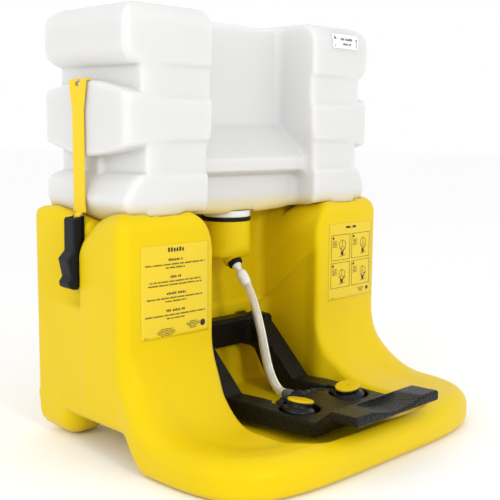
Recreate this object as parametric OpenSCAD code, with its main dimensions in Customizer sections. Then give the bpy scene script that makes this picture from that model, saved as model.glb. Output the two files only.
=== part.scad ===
// Gravity-fed portable eyewash station.
// A removable water tank stands in a moulded base, a pull-down arm carries two spray heads over the
// basin, and two strap latches hold the tank down. Millimetres, +Z up, front towards -Y.
// The origin is under the middle of the station, on the surface that it stands on.

/* [Overall] */
// Height to the top of the tank
overall_h = 610; // [608:1:614]
// Width across the basin rim
basin_w = 558; // [550:1:566]
// Depth from the front of the arm's handle to the back of the base
overall_d = 463; // [461:1:465]

/* [Base] */
// Width across the two towers
tower_w = 538; // [534:1:542]
// Height of the towers' top edge
tower_top_z = 333; // [330:1:335]
// Height of the towers' lower edge
tower_low_z = 40; // [36:1:42]
// Height of the basin rim
rim_h = 52; // [50:1:54]
// Half width of the bay between the towers
bay_half_w = 119; // [117:0.5:120]
// Height of the floor in the bay
bay_floor_z = 24; // [20:1:25]
// Radius of the sweep from each tower's front down into the basin
sweep_r = 110; // [100:1:115]
// Floor of the seat that the tank stands in
seat_z = 316; // [314:1:318]
// Edge radius of the moulded base
base_edge_r = 20; // [16:1:22]

/* [Tank] */
// Width of the tank
tank_w = 512; // [508:1:514]
// Distance from the centre plane to the tank's front face
tank_front = 24; // [22:1:26]
// Wall thickness of the tank
tank_wall = 4; // [3:0.5:5]
// Depth of the two grooves round the tank's sides and back
groove_d = 13; // [10:1:14]
// Half width of the recess in the tank's front
recess_half_w = 110; // [108:1:112]

/* [Arm] */
// Width of the arm's side plates, outside to outside
arm_w = 184; // [180:1:188]
// Inside half width between the side plates
arm_gap_half = 55; // [52:1:56]
// Height and depth of the arm's hinge line
pivot_yz = 132; // [131:0.5:133]
// Height of the tray's deck
deck_z = 61; // [60:0.5:62]
// Underside of the handle
handle_low_z = 72.5; // [72:0.5:74]
// Top of the handle
handle_top_z = 86; // [85:0.5:87]

/* [Spray heads] */
// Distance from the centre plane to a spray head
head_x = 54; // [52:0.5:55]
// Distance of the spray heads in front of the centre plane
head_y = 99; // [97:1:100]
// Inward tilt of each spray head, degrees
head_tilt = 11; // [8:1:14]
// Radius of a spray head's body
head_r = 24; // [22:0.5:24.5]
// Radius of a spray head's cover
cover_r = 20.5; // [19:0.5:21]

/* [Latches and straps] */
// Distance of the straps behind the centre plane
strap_y = 133; // [131:0.5:134]
// Width of a strap
strap_w = 25; // [24:0.5:26]
// Height of a latch lever's pivot
latch_pivot_z = 322; // [320:1:322]
// Width of a latch lever
lever_w = 25; // [24:0.5:25]

/* [Water way] */
// Distance of the tank's neck behind the centre plane
neck_y = 110; // [109:0.5:111]
// Radius of the receiver under the neck
receiver_r = 37.5; // [37:0.5:38]
// Outer diameter of the supply hose
hose_d = 14; // [13:0.5:15]
// Radius of the drain's bore
drain_r = 12; // [10:0.5:13]

/* [Hidden] */
$fn = 48;
eps = 0.01;
rear_y = overall_d / 2;
front_y = -overall_d / 2;
rim_front_y = front_y + 11;
tower_front_y = 21;
bay_back_y = 148;
tower_x = tower_w / 2;
basin_x = basin_w / 2;
tank_x = tank_w / 2;
tank_back = 216;
arm_x = arm_w / 2;
// Heights at which the tank's grooves start and end, from the bottom
low_groove = [385, 435];
high_groove = [486, 538];
tank_low_z = seat_z + 0.3;
tank_mid_low_z = 324;
// Recess behind the folded arm: three depths
recess_deep_y = 103;
recess_low_y = 72;
recess_mid_y = 50;
// Receiver, gasket and cap heights
receiver_top_z = 307;
gasket_top_z = 313;
cap_top_z = 323.5;
neck_r = 30;
cap_r = 37;
// Outlet at the receiver's lower front: centre, and the way it points
outlet_c = [0, 92, 243];
outlet_tilt = 42;
// Hose centreline from the outlet barb to the manifold's connector
hose_route = [
    [0, 78, 227.5], [0, 72, 220.5], [0, 63, 209], [0, 55, 197], [0, 48, 184], [0, 41.5, 169],
    [0, 36, 154], [0, 30.5, 138], [0, 25.5, 121], [0, 20.5, 104], [0, 15, 88], [0, 8.5, 75],
    [0, 1, 64.5], [0, -8, 57], [0, -14, 54.6], [0, -18.9, 54]
];
hose_sides = 12;
// Parts of the arm
tray_back_y = -40;
tray_front_y = -155;
tray_low_z = 41;
handle_back_y = -187;
handle_half_w = 92;
handle_grip_d = 14;
socket_r = 29;
socket_z = 47;
barrel_r = 14.5;
pin_r = 3;
pin_bore_r = 3.05;
hinge_x = 70;
// Heights of a hinge bracket's screws, from the pivot
hinge_screw_dz = [-32, -20];
head_z = 60;
cover_lift_z = 15;
stem_r = 2.5;
stem_bore_r = 2.56;
// Latch recess in each tower's side, and the lever's pivot line outside it
pocket_x = 259;
pocket_y = [118.5, 166];
pocket_z = 205;
latch_x = 268;
latch_pin_r = 2;
latch_bore_r = 2.05;
strap_low_z = 250;
strap_fold_z = 512.4;
strap_tail_x = 261;
strap_t = 2.4;
// Four threaded inserts in the back of the base, for a wall bracket
insert_dx = 320;
insert_dz = 160;
insert_z = 190;
insert_r = 5;
insert_bore_r = 3.3;
insert_len = 22;
drain_y = -84;
// Hollow inside the base's double wall
skin = 5;
void_y = [28, 203];
rear_void_y = [173, 203];
basin_back_y = 30;

function arc_point(c, r, a) = [c[0] + r * cos(a), c[1] + r * sin(a)];
function unit(v) = v / norm(v);

// ---------- shared shapes ----------

// Flat plate with round corners, standing on z = 0
module round_plate(w, d, h, r) {
    linear_extrude(h) {
        square([w - 2 * r, d], center = true);
        square([w, d - 2 * r], center = true);
        for (sx = [-1, 1], sy = [-1, 1])
            translate([sx * (w / 2 - r), sy * (d / 2 - r)]) circle(r);
    }
}

// Round-cornered plate between two corners in plan
module plate_between(x, y1, y2, z1, z2, r) {
    translate([0, (y1 + y2) / 2, z1]) round_plate(2 * x, y2 - y1, z2 - z1, r);
}

// A profile in the Y-Z plane, swept across from x1 to x2
module side_profile(x1, x2) {
    translate([x1, 0, 0]) rotate([90, 0, 90]) linear_extrude(x2 - x1) children();
}

module mirrored(side) {
    if (side > 0) children(); else mirror([1, 0, 0]) children();
}

// Ring of given radii standing on z = 0
module ring(r_out, r_in, h) {
    difference() {
        cylinder(h = h, r = r_out);
        translate([0, 0, -1]) cylinder(h = h + 2, r = r_in);
    }
}

// ---------- base ----------

// Rounded slab of the basin, from the rim back under the towers
module basin_outer() {
    edge = rim_h / 2;
    corner = 50;
    hull()
        for (sx = [-1, 1], y = [rim_front_y + edge + corner, basin_back_y - edge - corner])
            translate([sx * (basin_x - edge - corner), y, edge])
                rotate_extrude($fn = 32) translate([corner, 0]) circle(edge, $fn = 24);
}

module towers_outer() {
    r = base_edge_r;
    top_r = 8;
    hull()
        for (sx = [-1, 1], y = [tower_front_y + r, rear_y - r]) translate([sx * (tower_x - r), y, 0]) {
            translate([0, 0, tower_low_z]) cylinder(h = 10, r = r, $fn = 48);
            translate([0, 0, tower_top_z - top_r])
                rotate_extrude($fn = 48) translate([r - top_r, 0]) circle(top_r, $fn = 24);
        }
}

// Hollow of the basin inside its rim
module basin_hollow() {
    floor_z = 46;
    wall = 26;
    hull()
        for (sx = [-1, 1], y = [rim_front_y + wall + 48, -50])
            translate([sx * (basin_x - wall - 48), y, floor_z]) {
                cylinder(h = 1, r = 38, $fn = 32);
                translate([0, 0, rim_h - floor_z]) cylinder(h = 1, r = 48, $fn = 32);
            }
}

// Concave sweep between a tower's front face and the basin floor
module tower_sweep() {
    c = [tower_front_y - sweep_r, 46 + sweep_r];
    side_profile(bay_half_w, tower_x - 8)
        polygon(concat(
            [[tower_front_y + 2, 30], [tower_front_y + 2, c[1]]],
            [for (a = [0:-7.5:-90]) arc_point(c, sweep_r, a)],
            [[c[0], 40]]));
}

module rear_foot() {
    translate([0, 178, 0]) cylinder(h = tower_low_z + 10, r1 = 26, r2 = 40);
}

module base_solid() {
    difference() {
        basin_outer();
        basin_hollow();
    }
    towers_outer();
    // floor of the bay, behind the basin
    translate([-bay_half_w - 14, -60, 3]) cube([2 * bay_half_w + 28, 230, bay_floor_z + 12]);
    for (side = [-1, 1]) {
        mirrored(side) tower_sweep();
        mirrored(side) translate([226, 0, 0]) rear_foot();
    }
}

// Space between the towers, open to the front and the top
module bay() {
    difference() {
        union() {
            translate([-bay_half_w, -105, bay_floor_z])
                cube([2 * bay_half_w, bay_back_y + 105, tower_top_z]);
            translate([-bay_half_w, -180, 36]) cube([2 * bay_half_w, 80, tower_top_z]);
        }
        for (side = [-1, 1]) mirrored(side)
            translate([bay_half_w - 14, bay_back_y - 14, 0]) difference() {
                cube([15, 15, tower_top_z + 60]);
                translate([0, 0, -1]) cylinder(h = tower_top_z + 80, r = 14);
            }
    }
}

module latch_pocket() {
    translate([pocket_x, pocket_y[0], pocket_z])
        cube([20, pocket_y[1] - pocket_y[0], tower_top_z]);
    // way out of the seat for the strap
    translate([tank_x - 6, pocket_y[0], seat_z]) cube([30, pocket_y[1] - pocket_y[0], 40]);
}

// Sealed hollows of the double-walled moulding: one in each tower and one behind the bay
module base_voids() {
    top = seat_z - skin;
    low = tower_low_z + skin;
    for (side = [-1, 1]) mirrored(side)
        translate([bay_half_w + skin, void_y[0], low])
            cube([248 - bay_half_w - skin, void_y[1] - void_y[0], top - low]);
    translate([-bay_half_w + 6, rear_void_y[0], low])
        cube([2 * bay_half_w - 12, rear_void_y[1] - rear_void_y[0], top - low]);
}

// Shallow band let into the bay's side wall, where the folded arm lies
module guide_band() {
    side_profile(bay_half_w - 2, bay_half_w + 2.5)
        polygon([[bay_back_y - 6, 163], [23.5, 261], [23.5, 272], [44, 300], [bay_back_y - 6, 237]]);
}

module base_shell() {
    color("gold") {
        difference() {
            base_solid();
            bay();
            base_voids();
            // seat for the tank
            translate([0, 0, seat_z]) linear_extrude(40)
                translate([-tank_x - 1, tank_front - 1]) square([2 * tank_x + 2, 194.5]);
            for (side = [-1, 1]) mirrored(side) latch_pocket();
            // drain
            translate([0, drain_y, -1]) cylinder(h = 60, r = drain_r + 3);
            // wall inserts and hinge bracket screws
            insert_places() translate([0, 0, -1]) cylinder(h = insert_len + 1, r = insert_r);
            hinge_screw_places() cylinder(h = 18, r = 2);
            for (side = [-1, 1])
                translate([side * hinge_x - 11.2, bay_back_y - 1, pivot_yz - 40.2]) cube([22.4, 4, 52.4]);
            for (side = [-1, 1]) mirrored(side) latch_rivet_places() cylinder(h = 10, r = 2);
            receiver_screw_places() cylinder(h = 14, r = 2);
            for (side = [-1, 1]) mirrored(side) guide_band();
        }
    }
}

// Axes point into the base from its back face
module insert_places() {
    for (sx = [-1, 1], sz = [-1, 1])
        translate([sx * insert_dx / 2, rear_y, insert_z + sz * insert_dz / 2])
            rotate([90, 0, 0]) children();
}

module wall_inserts() {
    color("goldenrod") insert_places() ring(insert_r, insert_bore_r, insert_len);
}

module drain_fitting() {
    color("dimgray") translate([0, drain_y, 0]) difference() {
        union() {
            translate([0, 0, bay_floor_z]) cylinder(h = 2, r = drain_r + 9);
            translate([0, 0, 2]) cylinder(h = bay_floor_z - 2, r = drain_r + 3);
        }
        translate([0, 0, 1]) cylinder(h = 60, r = drain_r);
    }
}

module drain_strainer() {
    slot_w = 2.4;
    color("silver") translate([0, drain_y, bay_floor_z + 0.5]) difference() {
        cylinder(h = 1.5, r = drain_r);
        for (i = [-2:2]) translate([i * 3.6 - slot_w / 2, -8, -1]) cube([slot_w, 16, 4]);
    }
}

module drain_bushing() {
    color("dimgray") translate([0, drain_y, 4]) ring(drain_r, drain_r - 3, 10);
}

// ---------- receiver and water way ----------

module receiver_screw_places() {
    for (sx = [-1, 1]) translate([sx * 28, bay_back_y - eps, 276]) rotate([-90, 0, 0]) children();
}

// Points along the outlet's axis, forwards and down
module at_outlet() {
    translate(outlet_c) rotate([180 - outlet_tilt, 0, 0]) children();
}

module receiver_cup() {
    color("gold") difference() {
        union() {
            translate([0, neck_y, 250]) cylinder(h = receiver_top_z - 250, r = receiver_r);
            translate([-receiver_r, neck_y, 250]) cube([2 * receiver_r, 38, receiver_top_z - 250]);
            at_outlet() translate([0, 0, -22]) cylinder(h = 22, r = 15);
        }
        translate([0, neck_y, 272]) cylinder(h = 60, r = 31);
        at_outlet() translate([0, 0, -40]) cylinder(h = 60, r = 6);
        // forward lower corner cut back to the outlet's face
        at_outlet() translate([-60, -60, 0]) cube([120, 120, 40]);
        receiver_screw_places() translate([0, 0, -80]) cylinder(h = 100, r = 2.2);
    }
}

module receiver_gasket() {
    color("black") translate([0, neck_y, receiver_top_z])
        ring(receiver_r + 0.3, 31, gasket_top_z - receiver_top_z);
}

// Bridge across the receiver with the pin that opens the tank's valve
module valve_lift_pin() {
    color("white") translate([0, neck_y, 280]) {
        cylinder(h = 19.8, r = 3);
        translate([-30.5, -2, 0]) cube([61, 4, 4]);
    }
}

module outlet_grommet() {
    color("black") at_outlet() ring(11.5, 6, 7);
}

module outlet_barb() {
    color("whitesmoke") at_outlet() difference() {
        union() {
            translate([0, 0, -12]) cylinder(h = 24, r = 6);
            translate([0, 0, 7]) cylinder(h = 3, r = 7.5);
            translate([0, 0, 12]) cylinder(h = 8, r1 = 5.4, r2 = 4.6);
        }
        translate([0, 0, -20]) cylinder(h = 60, r = 3);
    }
}

// Rings of a tube along the route, each square to its own stretch
function route_dir(p, i) =
    unit(p[min(i + 1, len(p) - 1)] - p[max(i - 1, 0)]);
function tube_points(p, r, n) = [
    for (i = [0:len(p) - 1], k = [0:n - 1])
        let (t = route_dir(p, i), side = [1, 0, 0], up = cross(t, side), a = 360 * k / n)
            p[i] + r * (cos(a) * side + sin(a) * up)
];
function tube_faces(rings, n) = concat(
    [[for (k = [0:n - 1]) k]],
    [for (i = [0:rings - 2], k = [0:n - 1])
        [i * n + k, (i + 1) * n + k, (i + 1) * n + (k + 1) % n, i * n + (k + 1) % n]],
    [[for (k = [n - 1:-1:0]) (rings - 1) * n + k]]
);

module tube(p, r, n) {
    polyhedron(tube_points(p, r, n), tube_faces(len(p), n));
}

module supply_hose() {
    color("wheat") tube([for (i = [2:len(hose_route) - 1]) hose_route[i]], hose_d / 2, hose_sides);
}

module hose_sleeve() {
    color("ivory") tube([hose_route[0], hose_route[1], [0, 64, 210.4]], hose_d / 2 + 1.2,
        hose_sides);
}

// ---------- arm hinge ----------

module hinge_screw_places() {
    for (side = [-1, 1], dz = hinge_screw_dz)
        translate([side * hinge_x, bay_back_y - eps, pivot_yz + dz]) rotate([-90, 0, 0]) children();
}

// Bracket with two ears that hold the hinge pin, screwed to the bay's back wall
module hinge_bracket(side) {
    color("black") translate([side * hinge_x, 0, 0]) difference() {
        union() {
            translate([-11, bay_back_y, pivot_yz - 40]) cube([22, 3, 52]);
            for (x = [-11, 8]) translate([x, 0, 0]) {
                translate([0, pivot_yz, pivot_yz - 6]) cube([3, bay_back_y - pivot_yz + 1, 12]);
                translate([0, pivot_yz, pivot_yz]) rotate([0, 90, 0]) cylinder(h = 3, r = 6);
            }
        }
        translate([-20, pivot_yz, pivot_yz]) rotate([0, 90, 0]) cylinder(h = 40, r = pin_r);
        for (dz = hinge_screw_dz) translate([0, bay_back_y - 10, pivot_yz + dz])
            rotate([-90, 0, 0]) cylinder(h = 20, r = 2);
    }
}
module hinge_bracket_left() { hinge_bracket(-1); }
module hinge_bracket_right() { hinge_bracket(1); }

module hinge_bracket_screws() {
    color("silver") {
        hinge_screw_places() {
            cylinder(h = 17, r = 2);
            translate([0, 0, -2]) cylinder(h = 2, r = 3.6);
        }
    }
}

module arm_hinge_pin(side) {
    color("silver") translate([side * hinge_x - 12, pivot_yz, pivot_yz])
        rotate([0, 90, 0]) cylinder(h = 24, r = pin_r);
}
module arm_hinge_pin_left() { arm_hinge_pin(-1); }
module arm_hinge_pin_right() { arm_hinge_pin(1); }

// ---------- tank ----------

// One layer of the tank's plan outline between two heights, drawn in by inset
module tank_layer(z1, z2, inset, groove) {
    x = tank_x - inset - groove;
    y1 = tank_front + inset + (groove > 0 ? 4 : 0);
    y2 = tank_back - inset - groove;
    cut = 40;
    translate([0, 0, z1]) linear_extrude(z2 - z1)
        polygon([
            [-x + 8, y2], [-x, y2 - 8], [-x, y1 + 9], [-x + cut, y1],
            [x - cut, y1], [x, y1 + 9], [x, y2 - 8], [x - 8, y2]
        ]);
}

// Raised arch of the middle band on the tank's side, over which a strap hooks
module tank_arch(inset) {
    chord = 78;
    rise = 26;
    r = (chord * chord + rise * rise) / (2 * rise);
    x1 = tank_x - groove_d - inset - 2;
    x2 = tank_x - inset;
    for (side = [-1, 1]) mirrored(side) intersection() {
        translate([x1, 113, high_groove[0] + rise - r - inset]) rotate([0, 90, 0])
            cylinder(h = x2 - x1, r = r);
        translate([x1, 113 - chord, high_groove[0] - inset - 1]) cube([x2 - x1, 2 * chord, rise + 2]);
    }
}

module tank_form(inset) {
    difference() {
        union() {
            tank_layer(tank_low_z + inset, low_groove[0] - inset, inset, 0);
            tank_layer(low_groove[0] - inset - 1, low_groove[1] + inset + 1, inset, groove_d);
            tank_layer(low_groove[1] + inset, high_groove[0] - inset, inset, 0);
            tank_layer(high_groove[0] - inset - 1, high_groove[1] + inset + 1, inset, groove_d);
            tank_layer(high_groove[1] + inset, overall_h - inset, inset, 0);
            tank_arch(inset);
        }
        recess(inset);
        // shallow underside between the towers
        translate([-bay_half_w + 4 - inset, 0, tank_low_z - 1])
            cube([2 * (bay_half_w - 4 + inset), 300, tank_mid_low_z - tank_low_z + 1 + inset]);
    }
}

// Recess in the tank's front for the folded arm, deepest where the handle lies
module recess(inset) {
    x = recess_half_w + inset;
    side_profile(-x, x) polygon([
        [-5, tank_low_z - 5], [recess_low_y + inset, tank_low_z - 5],
        [recess_low_y + inset, 378 + inset], [recess_mid_y + inset, 384 + inset],
        [recess_mid_y + inset, 405 - inset], [recess_deep_y + inset, 453 - inset],
        [recess_deep_y + inset, overall_h + 5], [-5, overall_h + 5]
    ]);
}

module tank_shell() {
    color([0.93, 0.93, 0.92, 1]) {
        difference() {
            union() {
                difference() {
                    tank_form(0);
                    tank_form(tank_wall);
                }
                translate([0, neck_y, 318.2]) cylinder(h = 8, r = neck_r);
            }
            translate([0, neck_y, 300]) cylinder(h = 40, r = neck_r - 3);
        }
    }
}

module tank_cap() {
    color("white") translate([0, neck_y, 0]) difference() {
        translate([0, 0, gasket_top_z + 0.2]) cylinder(h = cap_top_z - gasket_top_z - 0.2, r = cap_r);
        translate([0, 0, 316]) cylinder(h = 40, r = neck_r + 0.2);
        translate([0, 0, 300]) cylinder(h = 30, r = 8);
        for (i = [0:23]) rotate([0, 0, i * 15]) translate([cap_r + 0.6, 0, 319])
            cylinder(h = 30, r = 1.4, $fn = 16);
    }
}

module cap_gasket() {
    color("dimgray") translate([0, neck_y, 316]) ring(neck_r - 3.2, 8, 2);
}

module valve_poppet() {
    color("lightgray") translate([0, neck_y, 0]) {
        translate([0, 0, 300]) cylinder(h = 20, r = 4);
        translate([0, 0, 320]) cylinder(h = 3, r = 12);
        translate([0, 0, 323]) cylinder(h = 14, r = 4);
    }
}

module valve_spring() {
    color("silver") translate([0, neck_y, 323.2]) ring(7, 5, 14);
}

module fill_label() {
    color("white") translate([148, tank_front - 0.4, 577]) cube([70, 0.4, 24]);
}

// ---------- straps and latches ----------

// Strap: a bent band, seen from the front, cut to its outline, seen from the side
module strap(side) {
    x = tank_x + 0.3;
    color("gold") mirrored(side) difference() {
        union() {
            intersection() {
                translate([0, strap_y + 30, 0]) rotate([90, 0, 0]) linear_extrude(60) polygon([
                    [x, strap_fold_z], [x + strap_t, strap_fold_z], [x + strap_t, 352],
                    [strap_tail_x + strap_t, 334], [strap_tail_x + strap_t, strap_low_z],
                    [strap_tail_x, strap_low_z], [strap_tail_x, 334], [x, 352]
                ]);
                side_profile(x - 5, x + 20) strap_outline();
            }
            translate([tank_x - 9, strap_y - 19, strap_fold_z]) cube([9.3 + strap_t, 38, strap_t]);
        }
        translate([tank_x + 2, strap_y, strap_fold_z - 5]) rotate([0, 90, 0])
            cylinder(h = 10, r = 4, center = true);
        translate([tank_x - 4, strap_y - 3, strap_fold_z - 5]) cube([12, 6, 12]);
    }
}

module strap_outline() {
    half = strap_w / 2;
    side_pts = [[19, strap_fold_z], [half, strap_fold_z - 38], [half, 350], [15, 341], [15, 336],
                [6, 333], [6, strap_low_z]];
    polygon(concat(
        [for (p = side_pts) [strap_y + p[0], p[1]]],
        [for (i = [len(side_pts) - 1:-1:0]) [strap_y - side_pts[i][0], side_pts[i][1]]]));
}
module strap_left() { strap(-1); }
module strap_right() { strap(1); }

// Base plate on the tower with two ears at the lever's pivot, inside the lever's channel
module latch_bracket(side) {
    color([0.1, 0.1, 0.1]) mirrored(side) difference() {
        union() {
            translate([pocket_x, strap_y - 13.5, 232]) cube([1.6, 27, 96]);
            for (y = [strap_y - 9.1, strap_y + 6.7]) translate([pocket_x, y, 0]) {
                translate([0, 0, latch_pivot_z - 4.4]) cube([latch_x - pocket_x, 2.4, 8.8]);
                translate([latch_x - pocket_x, 2.4, latch_pivot_z]) rotate([90, 0, 0])
                    cylinder(h = 2.4, r = 4.4);
            }
        }
        translate([latch_x, strap_y, latch_pivot_z]) rotate([90, 0, 0])
            cylinder(h = 60, r = latch_pin_r, center = true);
        latch_rivet_places() translate([0, 0, -5]) cylinder(h = 12, r = 2);
    }
}
module latch_bracket_left() { latch_bracket(-1); }
module latch_bracket_right() { latch_bracket(1); }

module latch_rivet_places() {
    for (z = [238, 244])
        translate([pocket_x + 1.6, strap_y + (z - 241) * 3.4, 238]) rotate([0, -90, 0]) children();
}

module latch_rivets() {
    color("silver") for (side = [-1, 1]) mirrored(side) latch_rivet_places() {
        cylinder(h = 9, r = 2);
        translate([0, 0, -1.2]) cylinder(h = 1.2, r = 3);
    }
}

module latch_pivot_pin(side) {
    color("black") mirrored(side) translate([latch_x, strap_y, latch_pivot_z])
        rotate([90, 0, 0]) cylinder(h = lever_w, r = latch_pin_r, center = true);
}
module latch_pivot_pin_left() { latch_pivot_pin(-1); }
module latch_pivot_pin_right() { latch_pivot_pin(1); }

// Channel-shaped lever: outer web and two cheeks, with two finger ridges near its free end
module latch_lever(side) {
    px = latch_x;
    color([0.08, 0.08, 0.08]) mirrored(side) difference() {
        translate([0, strap_y + lever_w / 2, 0]) rotate([90, 0, 0]) linear_extrude(lever_w)
            polygon([
                [px - 2, latch_pivot_z + 2], [px + 1, latch_pivot_z + 4], [px + 6, latch_pivot_z + 4],
                [px + 8, latch_pivot_z + 1], [px + 8.5, 279], [px + 18.5, 269], [px + 13, 243.5],
                [px + 18, 237], [px + 17, 230], [px + 9, 226.5], [px + 2, 226], [px - 2, 232]
            ]);
        // channel, open towards the tower
        translate([px - 10, strap_y - lever_w / 2 + 3, 231]) cube([15, lever_w - 6, 110]);
        for (z = [latch_pivot_z, 239]) translate([px, strap_y, z]) rotate([90, 0, 0])
            cylinder(h = 60, r = latch_bore_r, center = true);
    }
}
module latch_lever_left() { latch_lever(-1); }
module latch_lever_right() { latch_lever(1); }

module latch_hook_pin(side) {
    color("silver") mirrored(side) translate([latch_x, strap_y, 239])
        rotate([90, 0, 0]) cylinder(h = lever_w, r = latch_bore_r, center = true);
}
module latch_hook_pin_left() { latch_hook_pin(-1); }
module latch_hook_pin_right() { latch_hook_pin(1); }

// ---------- arm ----------

// Side plate of the arm, from the hinge barrel down to the tray's front
module arm_side_outline() {
    difference() {
        union() {
            translate([pivot_yz, pivot_yz]) circle(barrel_r);
            polygon([
                [pivot_yz, pivot_yz + barrel_r], [112, 147], [102, 141], [14, 57], [-32, deck_z],
                [tray_front_y, deck_z], [tray_front_y, tray_low_z], [0, 30], [62, 30], [102, 91],
                [121, 97], [pivot_yz, pivot_yz - barrel_r]
            ]);
        }
    }
}

module arm_frame() {
    color([0.12, 0.12, 0.12]) difference() {
        union() {
            for (side = [-1, 1]) mirrored(side) side_profile(arm_gap_half, arm_x) arm_side_outline();
            // crossbar
            side_profile(-arm_gap_half - 1, arm_gap_half + 1) {
                translate([pivot_yz, pivot_yz]) circle(barrel_r);
                polygon([[pivot_yz, 147 - 0.5], [112, 147], [107, 142], [121, 99], [126, 100],
                         [pivot_yz, pivot_yz - barrel_r + 1]]);
            }
            // tray
            translate([-arm_gap_half - 1, tray_front_y, tray_low_z])
                cube([2 * arm_gap_half + 2, tray_back_y - tray_front_y, deck_z - tray_low_z]);
            // step up to the handle, and the handle
            side_profile(-handle_half_w, handle_half_w) polygon([
                [tray_front_y + 6, deck_z], [tray_front_y, tray_low_z], [tray_front_y - 6, tray_low_z + 4],
                [handle_back_y - 4, handle_low_z], [front_y, handle_low_z], [front_y, handle_top_z - 2],
                [front_y + 2, handle_top_z], [handle_back_y, handle_top_z - 2], [tray_front_y - 2, deck_z]
            ]);
        }
        // finger scoop on the handle's top
        translate([0, front_y + 12, handle_top_z + 172]) rotate([90, 0, 0])
            cylinder(h = 60, r = 180, center = true, $fn = 96);
        // spray head sockets and the channel between them
        for (side = [-1, 1]) translate([side * head_x, -head_y, socket_z]) cylinder(h = 40, r = socket_r);
        translate([-54, -62, socket_z]) cube([108, 30, 40]);
        for (side = [-1, 1]) translate([side * 54, -62, socket_z]) cylinder(h = 40, r = 15);
        // hinge knuckles: room for each bracket's ears, and the pin bores
        for (side = [-1, 1]) translate([side * hinge_x, 0, 0]) {
            for (x = [-11.6, 7.4]) translate([x, pivot_yz - 7, pivot_yz - 45]) cube([4.2, 40, 60]);
            translate([-12.5, pivot_yz, pivot_yz]) rotate([0, 90, 0]) cylinder(h = 25, r = pin_bore_r);
        }
        // screw holes of the manifold, and the bumpers' recesses
        manifold_screw_places() cylinder(h = 12, r = 1.8);
        bumper_places() cylinder(h = 6.3, r = 7);
    }
}

module manifold_screw_places() {
    for (sx = [-1, 1]) translate([sx * 22, -49, socket_z - 5]) children();
}

module manifold() {
    color([0.15, 0.15, 0.15]) difference() {
        union() {
            translate([-30, -55, socket_z]) cube([60, 14, 7]);
            translate([-34, -48, socket_z + 7]) rotate([0, 90, 0]) cylinder(h = 68, r = 7);
            translate([0, -48, socket_z + 7]) sphere(11);
        }
        translate([-60, -70, 0]) cube([120, 60, socket_z]);
        translate([-40, -48, socket_z + 7]) rotate([0, 90, 0]) cylinder(h = 80, r = 4);
        translate([0, -48, socket_z + 7]) rotate([-90, 0, 0]) cylinder(h = 30, r = 3.5);
        manifold_screw_places() cylinder(h = 30, r = 1.8);
        manifold_screw_places() translate([0, 0, 16]) cylinder(h = 30, r = 4);
    }
}

module manifold_screws() {
    color("silver") manifold_screw_places() {
        cylinder(h = 16, r = 1.8);
        translate([0, 0, 16]) cylinder(h = 2, r = 3.2);
    }
}

// Quick connector between the manifold and the hose
module inlet_connector() {
    color("gray") translate([0, -48, socket_z + 7]) rotate([-90, 0, 0]) difference() {
        union() {
            translate([0, 0, 8]) cylinder(h = 12, r = 3.5);
            translate([0, 0, 11.2]) cylinder(h = 12, r = 8);
            translate([0, 0, 23.2]) cylinder(h = 4.6, r = 6.5);
        }
        cylinder(h = 60, r = 2.5);
    }
}

// Bent tube from the manifold's end round to a spray head's back
module feed_tube(side) {
    bend = 20;
    color([0.1, 0.1, 0.1]) mirrored(side) translate([34, -48 - bend, socket_z + 7]) {
        rotate_extrude(angle = 90) translate([bend, 0]) circle(5.5);
        translate([bend, 0, 0]) rotate([90, 0, 0]) cylinder(h = 8, r = 5.5);
    }
}
module feed_tube_left() { feed_tube(-1); }
module feed_tube_right() { feed_tube(1); }

// Frame on a spray head's tilted axis, at the middle of its body
module at_head(side) {
    translate([side * head_x, -head_y, head_z]) rotate([0, -side * head_tilt, 0]) children();
}

module spray_head(side) {
    color([0.1, 0.1, 0.1]) difference() {
        union() {
            at_head(side) {
                translate([0, 0, -16]) cylinder(h = 20, r = head_r);
                translate([0, 0, 4]) cylinder(h = 5, r1 = head_r, r2 = cover_r - 2);
            }
        }
        translate([-150, -150, 0]) cube([300, 300, socket_z]);
        // water chamber, open at the top
        at_head(side) translate([0, 0, 2]) ring_cavity();
        at_head(side) translate([0, 0, -12]) cylinder(h = 60, r = stem_bore_r);
        feed_port(side);
    }
}

module ring_cavity() {
    difference() {
        cylinder(h = 30, r = cover_r - 5);
        cylinder(h = 3, r = 6);
    }
}

// Way in for the water from the feed tube
module feed_port(side) {
    mirrored(side) translate([54, -60, socket_z + 7]) rotate([90, 0, 0]) cylinder(h = 30, r = 5.5);
}
module spray_head_left() { spray_head(-1); }
module spray_head_right() { spray_head(1); }

module flow_strainer(side) {
    color("white") at_head(side) translate([0, 0, 5.2]) difference() {
        cylinder(h = 1.6, r = cover_r - 5);
        translate([0, 0, -1]) cylinder(h = 4, r = 6.2);
        for (i = [0:11]) rotate([0, 0, i * 30]) translate([10.8, 0, -1]) cylinder(h = 4, r = 1.4, $fn = 16);
    }
}
module flow_strainer_left() { flow_strainer(-1); }
module flow_strainer_right() { flow_strainer(1); }

// Round cover on a stem that slides in the spray head
module spray_cover(side) {
    color("yellow") at_head(side) {
        translate([0, 0, 9.3]) cylinder(h = 3.2, r = cover_r);
        translate([0, 0, -8]) cylinder(h = 18, r = stem_r);
    }
}
module spray_cover_left() { spray_cover(-1); }
module spray_cover_right() { spray_cover(1); }

// Rubber feet under the tray that rest on the basin floor
module bumper_places() {
    for (side = [-1, 1]) translate([side * 74, -125, 36.2]) children();
}

module tray_bumpers() {
    color("dimgray") bumper_places() cylinder(h = 6.3, r = 7);
}

// ---------- labels ----------

module panel_label(side) {
    color([0.95, 0.86, 0.35]) mirrored(side)
        translate([138, tower_front_y - 0.4, 176]) cube([104, 0.4, 112]);
}
module label_left() { panel_label(-1); }
module label_right() { panel_label(1); }

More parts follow.
